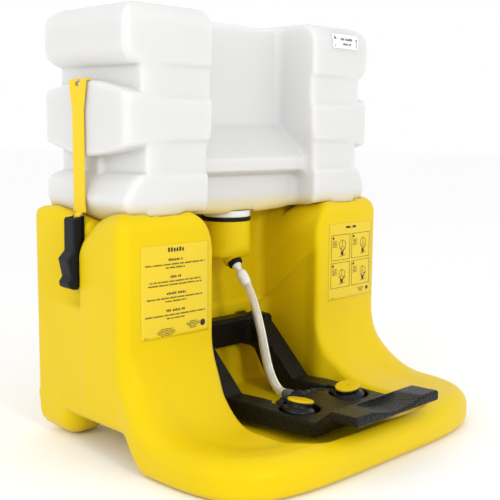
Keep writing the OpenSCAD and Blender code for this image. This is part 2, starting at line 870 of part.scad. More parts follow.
base_shell();
receiver_cup();
receiver_gasket();
valve_lift_pin();
outlet_grommet();
outlet_barb();
supply_hose();
hose_sleeve();
drain_fitting();
drain_strainer();
drain_bushing();
wall_inserts();
hinge_bracket_left();
hinge_bracket_right();
hinge_bracket_screws();
arm_hinge_pin_left();
arm_hinge_pin_right();
latch_bracket_left();
latch_bracket_right();
latch_rivets();
latch_pivot_pin_left();
latch_pivot_pin_right();
label_left();
label_right();
tank_shell();
tank_cap();
cap_gasket();
valve_poppet();
valve_spring();
fill_label();
strap_left();
strap_right();
arm_frame();
manifold();
inlet_connector();
feed_tube_left();
feed_tube_right();
spray_head_left();
spray_head_right();
flow_strainer_left();
flow_strainer_right();
tray_bumpers();
manifold_screws();
spray_cover_left();
spray_cover_right();
latch_lever_left();
latch_lever_right();
latch_hook_pin_left();
latch_hook_pin_right();
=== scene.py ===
"""Looks of the gravity-fed eyewash station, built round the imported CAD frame.

The moulded parts (base, tank, receiver, arm, levers) are distance fields, negative inside, that are
turned into smooth meshes. The straps, the hose and the round parts are meshes of their own, and the
other CAD nodes keep their shape with softened edges. Fields, profiles and paths are in millimetres,
which the mesh helpers turn into Blender's metres.
"""
import math

import bmesh
import bpy
import numpy as np
from mathutils import Matrix, Vector


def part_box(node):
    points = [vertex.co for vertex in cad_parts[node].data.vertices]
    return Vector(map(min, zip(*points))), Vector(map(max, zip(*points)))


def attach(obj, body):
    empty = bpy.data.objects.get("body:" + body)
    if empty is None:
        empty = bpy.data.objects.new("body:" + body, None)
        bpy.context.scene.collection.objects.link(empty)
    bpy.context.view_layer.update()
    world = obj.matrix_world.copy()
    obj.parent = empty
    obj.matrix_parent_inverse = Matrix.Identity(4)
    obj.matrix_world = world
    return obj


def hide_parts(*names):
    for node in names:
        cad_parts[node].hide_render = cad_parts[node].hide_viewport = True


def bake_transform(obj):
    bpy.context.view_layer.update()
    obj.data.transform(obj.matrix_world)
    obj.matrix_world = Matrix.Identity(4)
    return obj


MM = 0.001
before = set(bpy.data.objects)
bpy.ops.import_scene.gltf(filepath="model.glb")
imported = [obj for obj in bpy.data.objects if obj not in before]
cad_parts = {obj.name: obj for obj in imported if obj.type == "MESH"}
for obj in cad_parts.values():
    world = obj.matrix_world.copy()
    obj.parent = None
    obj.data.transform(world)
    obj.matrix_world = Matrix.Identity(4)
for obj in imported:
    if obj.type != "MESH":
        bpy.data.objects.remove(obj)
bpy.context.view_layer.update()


def span(node):
    """Lowest and highest corner of a CAD node, in millimetres."""
    lo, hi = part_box(node)
    return np.array(lo) / MM, np.array(hi) / MM


BASE_LO, BASE_HI = span("base_shell")
TANK_LO, TANK_HI = span("tank_shell")
ARM_LO, ARM_HI = span("arm_frame")
PIN_LO, PIN_HI = span("arm_hinge_pin_right")
GASKET_LO, GASKET_HI = span("receiver_gasket")
CAP_LO, CAP_HI = span("tank_cap")
CUP_HI = span("receiver_cup")[1]
LEVER_LO, LEVER_HI = span("latch_lever_right")
SIDES = ((-1, "left"), (1, "right"))

# base: the basin's rim, the two towers and the bay between them
RIM_X = BASE_HI[0]                 # half width of the basin's rim
RIM_FRONT = -BASE_LO[1]
RIM_POWER = 4.3                    # how square the rim's outline is
REAR_Y = BASE_HI[1]
TOWER_X = RIM_X - 8                # half width across the towers
TOWER_FRONT = 21
COLUMN_REAR = 119                  # the tower's front corner ends here and its let-in rim begins
DISH_Z = 47.5                      # height of the basin's floor
SWEEP_R = 110                      # sweep from the basin's floor to the towers
BAY_X = 119                        # half width of the bay
BAY_BACK = 148
BAY_FLOOR = 24
DRAIN_Y, DRAIN_R = -84, 15.1
INSERT_X, INSERT_Z, INSERT_R = 160, (110, 270), 5.1

# tank
TANK_X = TANK_HI[0]
TANK_FRONT, TANK_REAR = TANK_LO[1], TANK_HI[1]
TANK_LOW, TANK_TOP = TANK_LO[2], TANK_HI[2]
FACET_X = 216                      # the slanting facet at the tank's front corner starts here
FACET_TURN = math.radians(14.82)
GROOVE = 4                         # how far the lumps and the band stand proud at the front
NECK_Y = (CAP_LO[1] + CAP_HI[1]) / 2
NECK_R = 31                        # bore of the receiver round the tank's neck

# outlet of the receiver: its middle, and the turn that brings +Z onto its axis
OUTLET_Y, OUTLET_Z, OUTLET_TURN = 92, 243, math.radians(138)

# arm: the hinge's line, the tray and the spray heads on it
ARM_X = ARM_HI[0]
ARM_FRONT = ARM_LO[1]
PIVOT_Y, PIVOT_Z = (PIN_LO[1:] + PIN_HI[1:]) / 2
BARREL_R = 14.5
DECK_Z, TRAY_LOW, TRAY_FRONT = 61, 41, -155
WELL_Z = 47                        # floor of the wells that the heads sit in
TRAY_X = 58                        # half width between the arm's side plates
HEAD_X, HEAD_Y, HEAD_Z = 54, -99, 60
HEAD_TILT = math.radians(11)

# hose, straps and latches
HOSE_R, HOSE_BORE_R = 7.0, 4.6
FEED_R, FEED_Z = 5.6, 54
STRAP_T = 2.4
STRAP_Z = (332, 332.6, 340.6, 341.2, 474.4, 475)   # heights where a strap's width changes
STRAP_Y = (LEVER_LO[1] + LEVER_HI[1]) / 2
TAB_X = 262.2                      # where the strap's end lies inside the lever


# ---------- distance fields ----------

def smooth(t):
    """Eased step from 0 to 1."""
    t = np.clip(t, 0, 1)
    return t * t * (3 - 2 * t)


def round_max(a, b, r):
    """Intersection of two fields whose shared edge has radius r."""
    return np.minimum(np.maximum(a, b), -r) + np.hypot(np.maximum(a + r, 0), np.maximum(b + r, 0))


def round_min(a, b, r):
    """Union of two fields with a fillet of radius r between them."""
    return np.maximum(np.minimum(a, b), r) - np.hypot(np.maximum(r - a, 0), np.maximum(r - b, 0))


def slab(v, lo, hi):
    """Distance to a layer between two values of one coordinate."""
    return np.abs(v - (lo + hi) / 2) - (hi - lo) / 2


def polygon(u, v, points):
    """Distance to a closed outline in two coordinates."""
    best = np.full(np.shape(u), 1e9, np.float32)
    inside = np.zeros(np.shape(u), bool)
    for (au, av), (bu, bv) in zip(points, points[-1:] + points[:-1]):
        eu, ev, wu, wv = bu - au, bv - av, u - au, v - av
        t = np.clip((wu * eu + wv * ev) / (eu * eu + ev * ev), 0, 1)
        best = np.minimum(best, (wu - eu * t) ** 2 + (wv - ev * t) ** 2)
        above, below, left = v >= av, v < bv, eu * wv > ev * wu
        inside ^= (above & below & left) | ~(above | below | left)
    return np.where(inside, -1, 1) * np.sqrt(best)


def surface_net(field, lo, hi, step):
    """Vertices and quads of the field's zero surface, with the vertices moved onto the exact surface."""
    axes = [np.arange(lo[i], hi[i] + step, step, dtype=np.float32) for i in range(3)]
    f = field(*np.meshgrid(*axes, indexing="ij"))
    cells = np.array(f.shape) - 1
    sums, count = np.zeros((cells.prod(), 3)), np.zeros(cells.prod())
    edges = []
    for axis in range(3):
        a = np.take(f, range(f.shape[axis] - 1), axis)
        b = np.take(f, range(1, f.shape[axis]), axis)
        at = np.argwhere((a < 0) != (b < 0))
        at = at[np.all((at > 0) & (at < cells), 1)]
        fa, fb = a[tuple(at.T)], b[tuple(at.T)]
        point = at.astype(float)
        point[:, axis] += fa / (fa - fb)
        around = []
        for du, dv in ((-1, -1), (0, -1), (0, 0), (-1, 0)):
            c = at.copy()
            c[:, (axis + 1) % 3] += du
            c[:, (axis + 2) % 3] += dv
            flat = np.ravel_multi_index(c.T, cells)
            around.append(flat)
            for k in range(3):
                sums[:, k] += np.bincount(flat, point[:, k], cells.prod())
            count += np.bincount(flat, minlength=cells.prod())
        quad = np.stack(around, 1)
        quad[fa >= 0] = quad[fa >= 0][:, ::-1]
        edges.append(quad)
    used = np.flatnonzero(count)
    number = np.zeros(cells.prod(), int)
    number[used] = np.arange(len(used))
    points = sums[used] / count[used, None] * step + np.array(lo)
    e = 0.05
    for _ in range(3):
        value = field(*points.T)
        grad = np.stack([field(*(points + e * np.eye(3)[k]).T) - value for k in range(3)], 1) / e
        move = value[:, None] * grad / np.maximum((grad ** 2).sum(1), 0.2)[:, None]
        points -= np.clip(move, -0.6 * step, 0.6 * step)
    return points, number[np.concatenate(edges)]


def tank_lump(ax, y):
    """Plan of the tank's lumps, after the distances to its front, facet and rear for the core."""
    side = ax - (TANK_X - 4 * (TANK_REAR - y) / 183)
    facet = math.sin(FACET_TURN) * (ax - FACET_X) - math.cos(FACET_TURN) * (y - TANK_FRONT)
    front, rear = TANK_FRONT - y, y - TANK_REAR - 3
    lump = round_max(round_max(round_max(front, facet, 16), side, 9), rear, 6)
    return front, facet, rear, lump


def tank_field(x, y, z):
    """Blow-moulded tank: a core with two lumps and a band round it, and a recess in the front."""
    ax = np.abs(x)
    front, facet, rear, lump = tank_lump(ax, y)
    # core between the lumps, narrower in the lower groove
    core_x = 226 + 14 * np.clip((y - 34) / 166, 0, 1) - 7 * smooth((122 - y) / 8) * (z < 440)
    core = round_max(round_max(front + GROOVE, facet + 6, 2.5), ax - core_x, 2.5)
    core = np.maximum(round_max(core, rear + 18, 4), slab(z, TANK_LOW + 14, TANK_TOP - 14))
    # lower lump: its top slopes down to the side behind the step in the groove's wall
    outer = smooth((ax - 220) / 30)
    slope = 20 * smooth((ax - 226) / 26) * smooth((152 - y) / 40)
    low = round_max(round_max(lump, z - 387 + slope, 6 + 13 * outer), TANK_LOW - z, 40)
    # upper lump
    crest = TANK_TOP + 3 - 5 * smooth((118 - ax) / 30) - 2 * smooth(1 - np.abs(ax - 52) / 30)
    top = round_max(round_max(lump, 532 - z, 6 + 19 * outer), z - crest, 29)
    # band between them, tallest near the strap
    knots = [24, 34, 50, 90, 127, 165, 215]
    band_top = np.interp(y, knots, [486, 495, 501, 510, 513.5, 509, 501])
    band_low = np.interp(y, knots, [434, 425, 419, 413, 409, 414, 426])
    band = round_max(lump, np.maximum(z - band_top, band_low - z), 3 + 3 * outer)
    body = round_min(round_min(round_min(core, low, 2.5), top, 2.5), band, 2.5)
    # recess in the front
    half = 106 + 7 * smooth((455 - z) / 45)
    recess = polygon(y, z, [(-60, 280), (72, 280), (72, 378), (50, 386), (50, 404), (103, 453),
                            (103, 700), (-60, 700)])
    body = round_max(body, -round_max(recess, ax - half, 14), 7)
    # underside: lowest round the neck, higher beside the towers, and let in for the cap
    under = z - np.interp(ax, [40, 90, 130, 155, 190], [316, 320.5, 328, 328, TANK_LOW - 20])
    cap_room = np.maximum(np.hypot(x, y - NECK_Y) - 41, z - 324.5)
    return round_max(round_max(body, -under, 16), -cap_room, 2)


def base_plan(ax, y, z):
    """Outline of the base seen from above, wider at the rim than at the towers."""
    half = TOWER_X + (RIM_X - TOWER_X) * (1 - smooth((z - 52) / 70)) * (1 - smooth((y + 10) / 50))
    n = RIM_POWER
    ex, ey = ax / half, np.maximum(-y, 0) / RIM_FRONT
    q = np.maximum((ex ** n + ey ** n) ** (1 / n), 1e-3)
    slope = np.hypot((ex / q) ** (n - 1) / half, (ey / q) ** (n - 1) / RIM_FRONT)
    return round_max((q - 1) / np.maximum(slope, 1e-4), y - REAR_Y, 8)


def base_block(ax, y, z):
    """Towers and basin as one solid, with a rounded block and the rear feet under it."""
    plan = base_plan(ax, y, z)
    front = TOWER_FRONT - 6 * (1 - ((ax - 150) / 119) ** 2)
    floor = DISH_Z + 4.5 * smooth((plan + 78) / 42)
    body = round_min(front - y, z - floor, SWEEP_R)
    body = round_max(body, plan, 26 - 10 * smooth((z - 90) / 80))
    body = round_max(body, 40 * smooth((y + 30) / 50) - z, 14)
    block = round_max(round_max(ax - 133, y - 172, 20), 3 - z, 12)
    body = round_min(body, np.maximum(np.maximum(block, -60 - y), z - 46), 6)
    foot = round_max(round_max(plan, 186 - ax, 34), 146 - y, 34)
    foot = np.maximum(round_max(foot, -z, 37), z - 60)
    return round_min(body, foot, 5)


def tower_tops(body, ax, y, z):
    """Top edge: a column at the front corner, and a rim behind it that is let in for the latch."""
    fade = smooth((z - 196) / 16)
    let_in = np.where(y > COLUMN_REAR, 12 * np.clip((218 - y) / 99, 0, 1), 12)
    rim_z = np.interp(y, [80, 119, 133, 166, 190, 211, 232], [290, 320, 326, 333, 338, 337, 334])
    rim = round_max(round_max(body, ax - (TOWER_X - let_in * fade), 4), z - rim_z, 13)
    crest = np.interp(y, [21, 45, 65, 85, 102, 112, 119], [338, 337, 334, 327, 316, 306, 294])
    column = round_max(round_max(body, z - crest, 28), y - COLUMN_REAR, 4)
    return np.minimum(rim, column)


def above_slant(y, z, height, degrees):
    """Distance over a line that is at this height at y = 142 and falls towards the back."""
    turn = math.radians(degrees)
    return math.sin(turn) * (y - 142) + math.cos(turn) * (z - height)


def arm_bay(ax, y, z):
    """Bay between the towers, opening into a trough that widens towards the front."""
    flare = 73 - np.sqrt(73 ** 2 - np.clip(z - 275, 0, 69) ** 2)
    widen = 22 * smooth((12 - y) / 118) * smooth((z - 22) / 26)
    back = BAY_BACK + 4 * smooth((z - 160) / 5)
    # each side wall steps back twice: a thin upper edge, and a shoulder below it that widens
    shoulder = 6 + 5 * np.clip((142 - y) / 120, 0, 1)
    steps = (2.5 * smooth(0.5 - above_slant(y, z, 237, 32.74) / 3)
             + 7.5 * smooth(0.5 - above_slant(y, z, 163, 39.59) / shoulder))
    lip = 6 * smooth((y + 20) / 30) * smooth((130 - y) / 110)
    wide = BAY_X - 2 + flare + widen - lip + steps * smooth((y - 12) / 40)
    front_end = -180 - 14 * smooth((z - 22) / 26)
    corner = 14 + 28 * smooth((-20 - y) / 60)
    bay = round_max(ax - wide, np.maximum(y - back, front_end - y), corner)
    return round_max(bay, BAY_FLOOR + 8 * smooth((-100 - y) / 60) - z, 12)


def base_field(x, y, z):
    """Double-walled base in one piece: basin, towers, bay, and the seat for the tank."""
    ax = np.abs(x)
    body = tower_tops(base_block(ax, y, z), ax, y, z)
    body = round_max(body, -arm_bay(ax, y, z), 9)
    # round stop at the shoulder's upper end
    stop = round_max(np.hypot(y - 45, z - 290) - 5.5, slab(ax, BAY_X - 1, BAY_X + 12), 1.5)
    body = np.minimum(body, stop)
    # seat of the tank, pads for the latches and the hinge brackets, drain and threaded inserts
    body = round_max(body, 0.8 - tank_field(x, y, z), 1.5)
    latch_pad = np.maximum(np.maximum(slab(y, COLUMN_REAR, 147), slab(z, 229, 345)), 259 - ax)
    hinge_pad = np.maximum(np.maximum(slab(ax, 58.5, 81.5), slab(z, 91, 145)), slab(y, 139, 151))
    body = np.maximum(body, -np.minimum(latch_pad, hinge_pad))
    body = np.maximum(body, DRAIN_R - np.hypot(x, y - DRAIN_Y))
    inserts = np.maximum(np.hypot(ax - INSERT_X, slab(z, *INSERT_Z)) - INSERT_R, 205 - y)
    return np.maximum(body, -inserts)


def receiver_field(x, y, z):
    """Cup under the tank's neck, squared off at the back, with a boss for the outlet."""
    out_y, out_z = -math.sin(OUTLET_TURN), math.cos(OUTLET_TURN)
    dy, dz = y - OUTLET_Y, z - OUTLET_Z
    outward = dy * out_y + dz * out_z
    off_axis = np.hypot(x, dz * out_y - dy * out_z)
    cup = np.maximum(np.hypot(x, np.minimum(y - NECK_Y, 0)) - CUP_HI[0], y - 153)
    cup = round_max(round_max(cup, 247.5 - z, 9), outward, 7)
    boss = round_max(off_axis - 15.5, slab(outward, -30, 0), 1.5)
    body = round_max(round_min(cup, boss, 5), z - CUP_HI[2], 1.2)
    well = round_max(np.hypot(x, y - NECK_Y) - NECK_R, 272 - z, 3)
    body = round_max(body, -well, 1.2)
    bore = np.maximum(off_axis - 6, -40 - outward)
    return np.maximum(body, -bore)


def arm_wells(ax, y, z):
    """Round sockets of the spray heads and the rounded channel that joins them behind."""
    sockets = np.hypot(ax - HEAD_X, y - HEAD_Y) - 29.5
    channel = np.hypot(np.maximum(ax - 44, 0), np.maximum(np.abs(y + 47) - 3, 0)) - 12
    link = np.maximum(np.abs(ax - HEAD_X) - 9, slab(y, -85, -50))
    return np.maximum(round_min(np.minimum(sockets, link), channel, 5), WELL_Z - z)


def hinge_gaps(ax, y, z):
    """Slots in the barrel for the brackets' ears, and room for their plates when the arm is up."""
    ears = np.minimum(slab(ax, 58.2, 62.8), slab(ax, 77.2, 81.8))
    ears = np.maximum(ears, slab(y, PIVOT_Y - 7, PIVOT_Y + 40))
    ears = np.maximum(ears, slab(z, PIVOT_Z - 45, PIVOT_Z + 15))
    behind = np.maximum(PIVOT_Y - 15 - y, 11.8 - np.maximum(z - PIVOT_Z, y - PIVOT_Y))
    return np.minimum(ears, np.maximum(slab(ax, 57.6, 82.4), behind))


def arm_field(x, y, z):
    """Pull-down arm in one piece: side plates, crossbar, tray and handle."""
    ax = np.abs(x)
    barrel = np.hypot(y - PIVOT_Y, z - PIVOT_Z) - BARREL_R
    # side plates with a knuckle at the bend
    plate = polygon(y, z, [(PIVOT_Y, PIVOT_Z + BARREL_R), (112, 147), (102, 141), (14, 58), (-32, DECK_Z),
                           (TRAY_FRONT - 3, DECK_Z), (TRAY_FRONT - 3, TRAY_LOW), (0, 30), (62, 30),
                           (102, 91), (121, 97), (PIVOT_Y, PIVOT_Z - BARREL_R)])
    plates = round_max(round_min(barrel, plate, 2), slab(ax, 55, ARM_X), 3.2)
    knuckle = round_max(np.hypot(y - 104, z - 138) - 8.5, slab(ax, 76, ARM_X - 0.5), 3)
    plates = round_min(plates, knuckle, 2)
    # crossbar, tray and handle
    bar = polygon(y, z, [(PIVOT_Y, 146.5), (112, 147), (107, 142), (121, 98), (127, 99),
                         (PIVOT_Y, PIVOT_Z - 13.5)])
    bar = round_max(round_min(barrel, bar, 2), ax - TRAY_X, 2.5)
    tray = round_max(ax - TRAY_X, slab(y, TRAY_FRONT - 2, -40), 3)
    tray = round_max(tray, slab(z, TRAY_LOW, DECK_Z), 2.5)
    handle = polygon(y, z, [(TRAY_FRONT + 12, DECK_Z), (TRAY_FRONT + 4, TRAY_LOW),
                            (TRAY_FRONT - 6, TRAY_LOW + 4), (-191, 72.5), (ARM_FRONT, 72.5),
                            (ARM_FRONT, 84), (ARM_FRONT + 3, 86), (-187, 84.5), (-158, DECK_Z)])
    handle = round_max(handle, ax - ARM_X, 3)
    body = round_min(round_min(round_min(plates, bar, 10), tray, 2), handle, 2)
    # the handle's lip is scooped, and the tray is let in for the heads
    scoop = np.maximum(np.hypot(x, z - 258) - 180, y + 190)
    body = round_max(round_max(body, -scoop, 1.5), -arm_wells(ax, y, z), 2)
    return np.maximum(body, -hinge_gaps(ax, y, z))


# ---------- mesh helpers ----------

def new_object(name, data):
    obj = bpy.data.objects.new(name, data)
    bpy.context.scene.collection.objects.link(obj)
    return obj


def mesh_object(name, points, faces):
    mesh = bpy.data.meshes.new(name)
    mesh.from_pydata((np.asarray(points) * MM).tolist(), [], [list(map(int, f)) for f in faces])
    mesh.validate()
    mesh.polygons.foreach_set("use_smooth", [True] * len(mesh.polygons))
    mesh.update()
    return new_object(name, mesh)


def bmesh_object(name, bm):
    mesh = bpy.data.meshes.new(name)
    bm.to_mesh(mesh)
    return new_object(name, mesh)


def net_object(name, field, lo, hi, step):
    """Smooth mesh of a field inside a box, on a grid of this step."""
    margin = 2.2 * step
    points, quads = surface_net(field, np.array(lo) - margin, np.array(hi) + margin, step)
    return mesh_object(name, points, quads)


def lathe(name, profile, place, steps=96):
    """Closed solid of revolution about Z: profile is (radius, height) pairs from bottom to top.

    A profile that ends where it starts makes a ring; any other is closed by a disc at each end.
    """
    angles = np.arange(steps) * 2 * math.pi / steps
    points = [tuple(place @ Vector((r * math.cos(a), r * math.sin(a), h)))
              for r, h in profile for a in angles]
    last = (len(profile) - 1) * steps
    faces = [(i + k, i + (k + 1) % steps, i + steps + (k + 1) % steps, i + steps + k)
             for i in range(0, last, steps) for k in range(steps)]
    if np.allclose(profile[0], profile[-1], atol=1e-6):
        faces = [tuple(f % last for f in face) for face in faces]
        points = points[:last]
    else:
        faces += [tuple(range(steps - 1, -1, -1)), tuple(range(last, last + steps))]
    return mesh_object(name, points, faces)


def arc(cx, cy, r, a0, a1, n=6):
    """Points of an arc in a profile, angles in degrees."""
    return [(cx + r * math.cos(math.radians(a)), cy + r * math.sin(math.radians(a)))
            for a in np.linspace(a0, a1, n)]


def soften(obj, width, segments=3, angle=35):
    """Rounded edges on a CAD node or a plain mesh."""
    weld = obj.modifiers.new("weld", "WELD")
    weld.merge_threshold = 0.02 * MM
    bevel = obj.modifiers.new("bevel", "BEVEL")
    bevel.width, bevel.segments = width * MM, segments
    bevel.limit_method, bevel.angle_limit = "ANGLE", math.radians(angle)
    bevel.harden_normals = True


def smooth_path(points, per):
    """Catmull-Rom curve through the points, with this many steps from each to the next."""
    p = [np.array(q, float) for q in points]
    p = [2 * p[0] - p[1]] + p + [2 * p[-1] - p[-2]]
    out = []
    for a, b, c, d in zip(p, p[1:], p[2:], p[3:]):
        for t in np.arange(per) / per:
            out.append(0.5 * (2 * b + (c - a) * t + (2 * a - 5 * b + 4 * c - d) * t * t
                              + (3 * b - a - 3 * c + d) * t ** 3))
    return out + [p[-2]]


def tube(name, path, radii, sides, bore=None):
    """Tube along a path in a plane x = constant or z = constant, solid unless it has a bore."""
    path = np.array(path, float)
    tangents = np.gradient(path, axis=0)
    across = np.array([1.0, 0, 0]) if np.ptp(path[:, 0]) < 1e-6 else np.array([0, 0, 1.0])
    wall, core = [], []
    for q, tangent, r in zip(path, tangents, radii):
        up = np.cross(tangent / np.linalg.norm(tangent), across)
        for a in np.arange(sides) * 2 * math.pi / sides:
            out = math.cos(a) * across + math.sin(a) * up
            wall.append(q + r * out)
            core.append(q + (bore or 0) * out)
    last = len(wall) - sides
    faces = [(i + k, i + sides + k, i + sides + (k + 1) % sides, i + (k + 1) % sides)
             for i in range(0, last, sides) for k in range(sides)]
    if bore:
        shift = len(wall)
        faces += [tuple(shift + v for v in reversed(f)) for f in faces]
        for end, flip in ((0, 1), (last, -1)):
            for k in range(sides):
                a, b = end + k, end + (k + 1) % sides
                faces.append((a, b, shift + b, shift + a)[::flip])
        wall += core
    else:
        faces += [tuple(range(sides)), tuple(range(last + sides - 1, last - 1, -1))]
    return mesh_object(name, wall, faces)


# ---------- materials ----------

class Nodes:
    """Short way to build a node material."""

    def __init__(self, name, **sockets):
        self.mat = bpy.data.materials.new(name)
        self.mat.use_nodes = True
        self.tree = self.mat.node_tree
        self.shader = self.tree.nodes["Principled BSDF"]
        for key, value in sockets.items():
            self.shader.inputs[key.replace("_", " ")].default_value = value
        self.coords = self.add("ShaderNodeTexCoord").outputs["Object"]

    def add(self, kind, **values):
        node = self.tree.nodes.new(kind)
        for key, value in values.items():
            setattr(node, key, value)
        return node

    def link(self, a, b):
        self.tree.links.new(a, b)

    def map_range(self, value, **limits):
        node = self.add("ShaderNodeMapRange")
        for key, limit in limits.items():
            node.inputs[key.replace("_", " ")].default_value = limit
        self.link(value, node.inputs["Value"])
        return node.outputs["Result"]

    def noise(self, scale, detail):
        node = self.add("ShaderNodeTexNoise")
        node.inputs["Scale"].default_value = scale
        node.inputs["Detail"].default_value = detail
        self.link(self.coords, node.inputs["Vector"])
        return node.outputs["Fac"]

    def cells(self, scale):
        """Rounded pebbles, for a leather-like grain."""
        node = self.add("ShaderNodeTexVoronoi", feature="SMOOTH_F1")
        node.inputs["Scale"].default_value = scale
        node.inputs["Smoothness"].default_value = 0.6
        self.link(self.coords, node.inputs["Vector"])
        return node.outputs["Distance"]

    def colour(self, fac, rgb, amount):
        """Base colour that wanders between a darker and a lighter shade of rgb."""
        node = self.add("ShaderNodeValToRGB")
        for element, position, sign in zip(node.color_ramp.elements, (0.3, 0.7), (-1, 1)):
            element.position = position
            element.color = [min(1, c * (1 + sign * amount)) for c in rgb] + [1]
        self.link(fac, node.inputs["Fac"])
        self.link(node.outputs["Color"], self.shader.inputs["Base Color"])

    def glow_low(self, rgb, low, high):
        """Painted glow: tint the base colour below a height, standing in for the light that the part
        underneath throws up.
        """
        height = self.add("ShaderNodeSeparateXYZ")
        self.link(self.coords, height.inputs[0])
        mix = self.add("ShaderNodeMix", data_type="RGBA")
        factor, first, second, result = mix.inputs[0], mix.inputs[6], mix.inputs[7], mix.outputs[2]
        self.link(self.map_range(height.outputs["Z"], From_Min=high, From_Max=low), factor)
        self.link(self.shader.inputs["Base Color"].links[0].from_socket, first)
        second.default_value = rgb + (1,)
        self.link(result, self.shader.inputs["Base Color"])

    def rough(self, fac, low, high):
        self.link(self.map_range(fac, To_Min=low, To_Max=high), self.shader.inputs["Roughness"])

    def bump(self, *layers):
        """Fine relief, each layer (height, strength, distance in metres). Returns the material."""
        normal = None
        for height, strength, distance in layers:
            node = self.add("ShaderNodeBump")
            node.inputs["Strength"].default_value = strength
            node.inputs["Distance"].default_value = distance
            self.link(height, node.inputs["Height"])
            if normal:
                self.link(normal, node.inputs["Normal"])
            normal = node.outputs["Normal"]
        self.link(normal, self.shader.inputs["Normal"])
        return self.mat


def moulded(name, rgb, low, high, grain, depth, tint, **sockets):
    """Plastic, rubber or metal: roughness from low to high, and a fine grain this deep in metres."""
    m = Nodes(name, **sockets)
    m.colour(m.noise(9, 4), rgb, tint)
    m.rough(m.noise(60, 3), low, high)
    return m.bump((m.noise(grain, 2), 0.5, depth))


WARM = {"Specular_IOR_Level": 0.35, "Specular_Tint": (1.0, 0.82, 0.2, 1.0)}
DULL = {"Specular_IOR_Level": 0.14}
yellow_mat = moulded("yellow_polyethylene", (0.74, 0.532, 0.004), 0.36, 0.46, 420, 0.0005, 0.02, **WARM)
strap_mat = moulded("yellow_strap", (0.82, 0.58, 0.02), 0.42, 0.55, 700, 0.0003, 0.02, **WARM)
cover_mat = moulded("yellow_cover", (0.70, 0.50, 0.008), 0.28, 0.38, 300, 0.0002, 0.02, **WARM)
white_mat = moulded("white_plastic", (0.80, 0.80, 0.76), 0.30, 0.42, 250, 0.0002, 0.02)
grey_mat = moulded("grey_plastic", (0.09, 0.10, 0.105), 0.40, 0.55, 500, 0.0004, 0.08)
black_mat = moulded("black_plastic", (0.009, 0.011, 0.013), 0.34, 0.46, 380, 0.0003, 0.15, **DULL)
rubber_mat = moulded("black_rubber", (0.007, 0.007, 0.008), 0.40, 0.55, 900, 0.0003, 0.15, **DULL)
head_mat = moulded("black_head", (0.006, 0.006, 0.007), 0.28, 0.4, 420, 0.0005, 0.15,
                   Specular_IOR_Level=0.25)
brass_mat = moulded("insert_brass", (0.55, 0.38, 0.12), 0.25, 0.4, 300, 0.0001, 0.05, Metallic=1.0)
steel_mat = moulded("stainless_steel", (0.52, 0.52, 0.51), 0.22, 0.38, 800, 0.0001, 0.05, Metallic=1.0)


def tank_material():
    m = Nodes("natural_polyethylene", Subsurface_Weight=0.6, Subsurface_Scale=1.0, IOR=1.5)
    m.shader.inputs["Subsurface Radius"].default_value = (0.030, 0.029, 0.026)
    m.colour(m.noise(5, 3), (0.68, 0.68, 0.675), 0.012)
    # painted glow: the yellow light from the base on the tank's lowest part is painted into its colour
    m.glow_low((0.70, 0.58, 0.24), 0.326, 0.350)
    m.rough(m.noise(40, 3), 0.30, 0.42)
    return m.bump((m.noise(25, 2), 0.25, 0.002), (m.noise(380, 2), 0.35, 0.0003))


def arm_material():
    m = Nodes("black_textured_plastic", Specular_IOR_Level=0.18)
    m.colour(m.noise(30, 4), (0.005, 0.005, 0.005), 0.2)
    m.rough(m.noise(150, 3), 0.28, 0.42)
    return m.bump((m.cells(380), 1.0, 0.0014), (m.noise(700, 2), 0.5, 0.0004))


def hose_material():
    m = Nodes("clear_hose", Transmission_Weight=0.68, IOR=1.4)
    m.colour(m.noise(40, 3), (0.91, 0.88, 0.77), 0.02)
    m.rough(m.noise(60, 2), 0.10, 0.18)
    return m.bump((m.noise(40, 2), 0.1, 0.0004))


def film_material(name, rgb, low, high):
    m = Nodes(name, Specular_IOR_Level=0.3)
    m.colour(m.noise(12, 3), rgb, 0.02)
    m.rough(m.noise(90, 2), low, high)
    return m.bump((m.noise(180, 2), 0.15, 0.0002))


tank_mat, arm_mat, hose_mat = tank_material(), arm_material(), hose_material()
clear_film_mat = film_material("clear_label", (0.755, 0.555, 0.02), 0.2, 0.3)
white_film_mat = film_material("white_label", (0.86, 0.86, 0.85), 0.2, 0.3)
ink_mat = film_material("label_ink", (0.02, 0.02, 0.025), 0.4, 0.5)


def paint(obj, material):
    obj.data.materials.clear()
    obj.data.materials.append(material)


def finish_piece(obj, material, body, replaced):
    """A piece that stands for one CAD node and rides on a body."""
    paint(obj, material)
    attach(obj, body)
    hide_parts(replaced)


# ---------- moulded parts ----------

finish_piece(net_object("base_moulding", base_field, (-RIM_X, -RIM_FRONT, 0), (RIM_X, REAR_Y, 340), 3.5),
             yellow_mat, "root", "base_shell")
finish_piece(net_object("tank_moulding", tank_field, TANK_LO, TANK_HI, 3.0),
             tank_mat, "tank", "tank_shell")
finish_piece(net_object("receiver_moulding", receiver_field, (-38, 68, 226), (38, 154, 308), 1.6),
             yellow_mat, "root", "receiver_cup")
finish_piece(net_object("arm_moulding", arm_field, (-ARM_X, ARM_FRONT, 30), (ARM_X, 147, 147), 2.0),
             arm_mat, "arm", "arm_frame")

# ---------- round parts ----------

at_neck = Matrix.Translation((0, NECK_Y, 0))
r_out, z0, z1 = GASKET_HI[0], GASKET_LO[2], GASKET_HI[2]
ring = (arc(r_out - 1.2, z0 + 1.2, 1.2, -90, 0) + arc(r_out - 1.2, z1 - 1.2, 1.2, 0, 90)
        + [(NECK_R, z1), (NECK_R, z0), (r_out - 1.2, z0)])
finish_piece(lathe("receiver_seal", ring, at_neck), rubber_mat, "root", "receiver_gasket")

